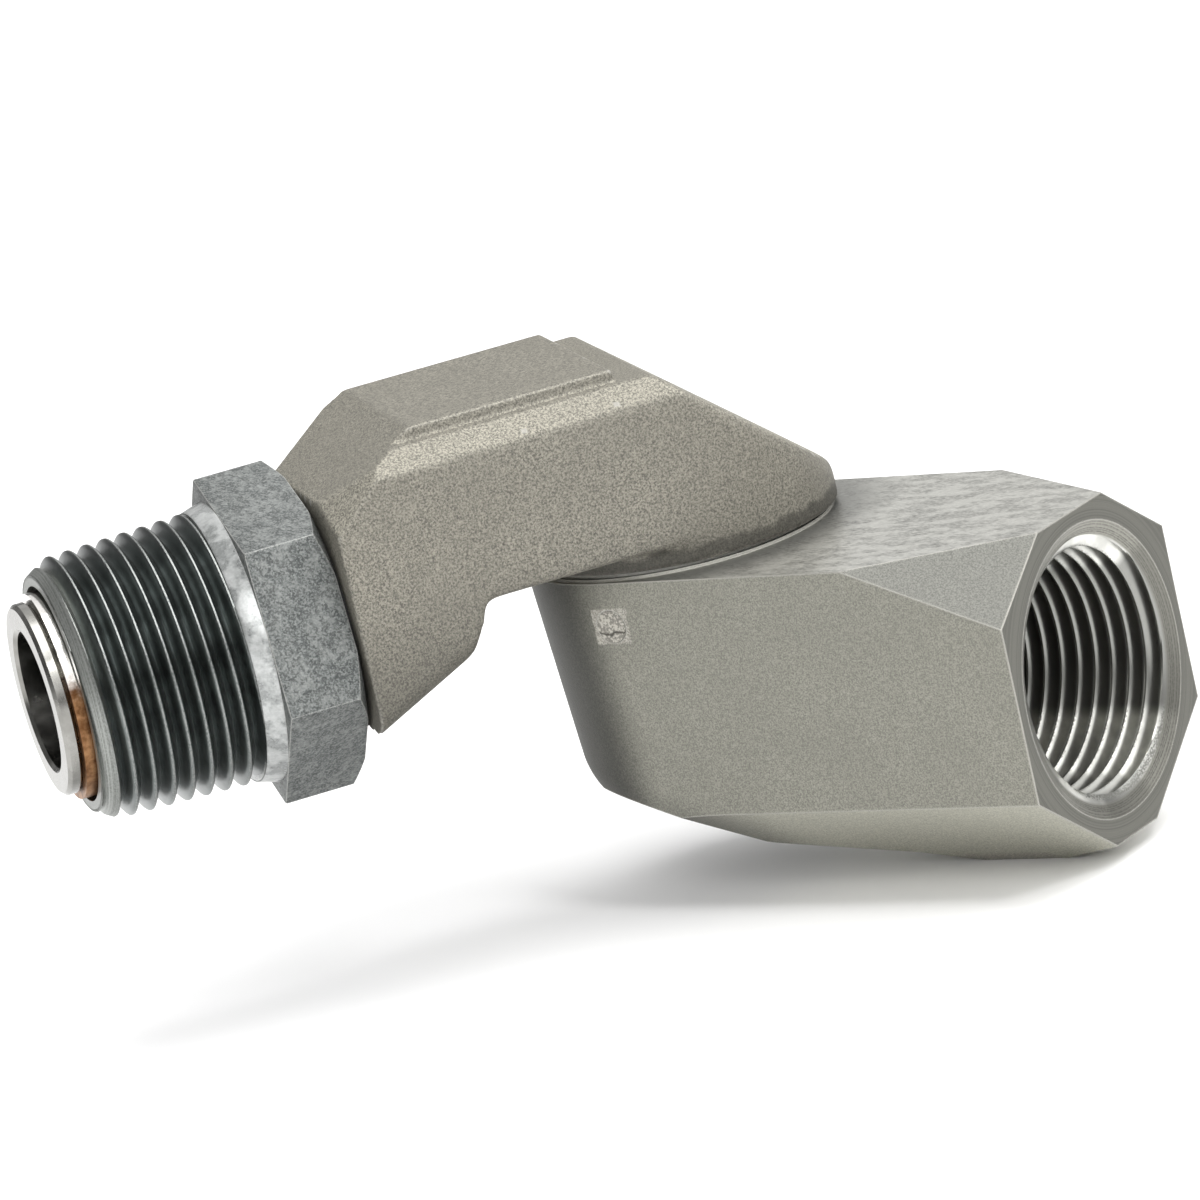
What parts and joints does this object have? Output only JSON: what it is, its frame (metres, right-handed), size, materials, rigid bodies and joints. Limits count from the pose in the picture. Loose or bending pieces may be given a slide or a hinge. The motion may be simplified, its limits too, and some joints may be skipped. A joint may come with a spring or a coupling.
{
  "type": "hose swivel",
  "caption": "Two-joint hose swivel: an octagonal female pipe port, an elbow on a vertical ball-race joint and a spinning hexagonal male pipe end.",
  "frame": {"origin": "centre of the female thread's outer end, 1 mm inside the port's mouth", "axes": "+X leaves the female port along its axis, +Z is the swivel joint's axis, upwards"},
  "size_m": [0.0938, 0.0723, 0.0546],
  "materials": {
    "lower_casting_steel": "fine blasted casting, satin, edges worn bright",
    "upper_casting_steel": "blasted casting, warm grey, coarse grain",
    "plated_steel": "zinc-plated, satin",
    "bright_steel": "bright plated steel",
    "inner_steel": "ground steel",
    "bronze": "plain bronze",
    "seal_rubber": "smooth moulded rubber",
    "inner_plastic": "plain white bearing plastic"
  },
  "bodies": {
    "female_side": {"lower_casting": "lower_casting_steel", "ball_plug": "bright_steel", "retaining_balls": "bright_steel", "joint_thrust_washer": "inner_plastic", "joint_dust_seal": "seal_rubber"},
    "elbow": {"upper_casting": "upper_casting_steel", "joint_spindle": "inner_steel", "spindle_thread_seal": "seal_rubber", "spindle_o_ring_upper": "seal_rubber", "spindle_o_ring_lower": "seal_rubber", "nose_tube": "bright_steel", "nose_tube_seal": "inner_plastic", "nose_thrust_washer": "inner_plastic", "nose_wear_ring": "bronze", "nose_dust_seal": "seal_rubber"},
    "male_end": {"male_adapter": "plated_steel", "adapter_bush": "bronze", "adapter_o_ring_inner": "seal_rubber", "adapter_o_ring_outer": "seal_rubber", "adapter_backup_ring": "inner_plastic"}
  },
  "joints": [
    {"name": "joint_swivel", "type": "hinge", "parent": "female_side", "child": "elbow", "pos_m": [-0.0436, 0, 0.0163], "axis": [0, 0, 1], "range_deg": [-160, 60]},
    {"name": "adapter_spin", "type": "hinge", "parent": "elbow", "child": "male_end", "pos_m": [-0.07534, -0.03864, 0.0176], "axis": [-0.6347, -0.7727, 0], "continuous": true}
  ]
}
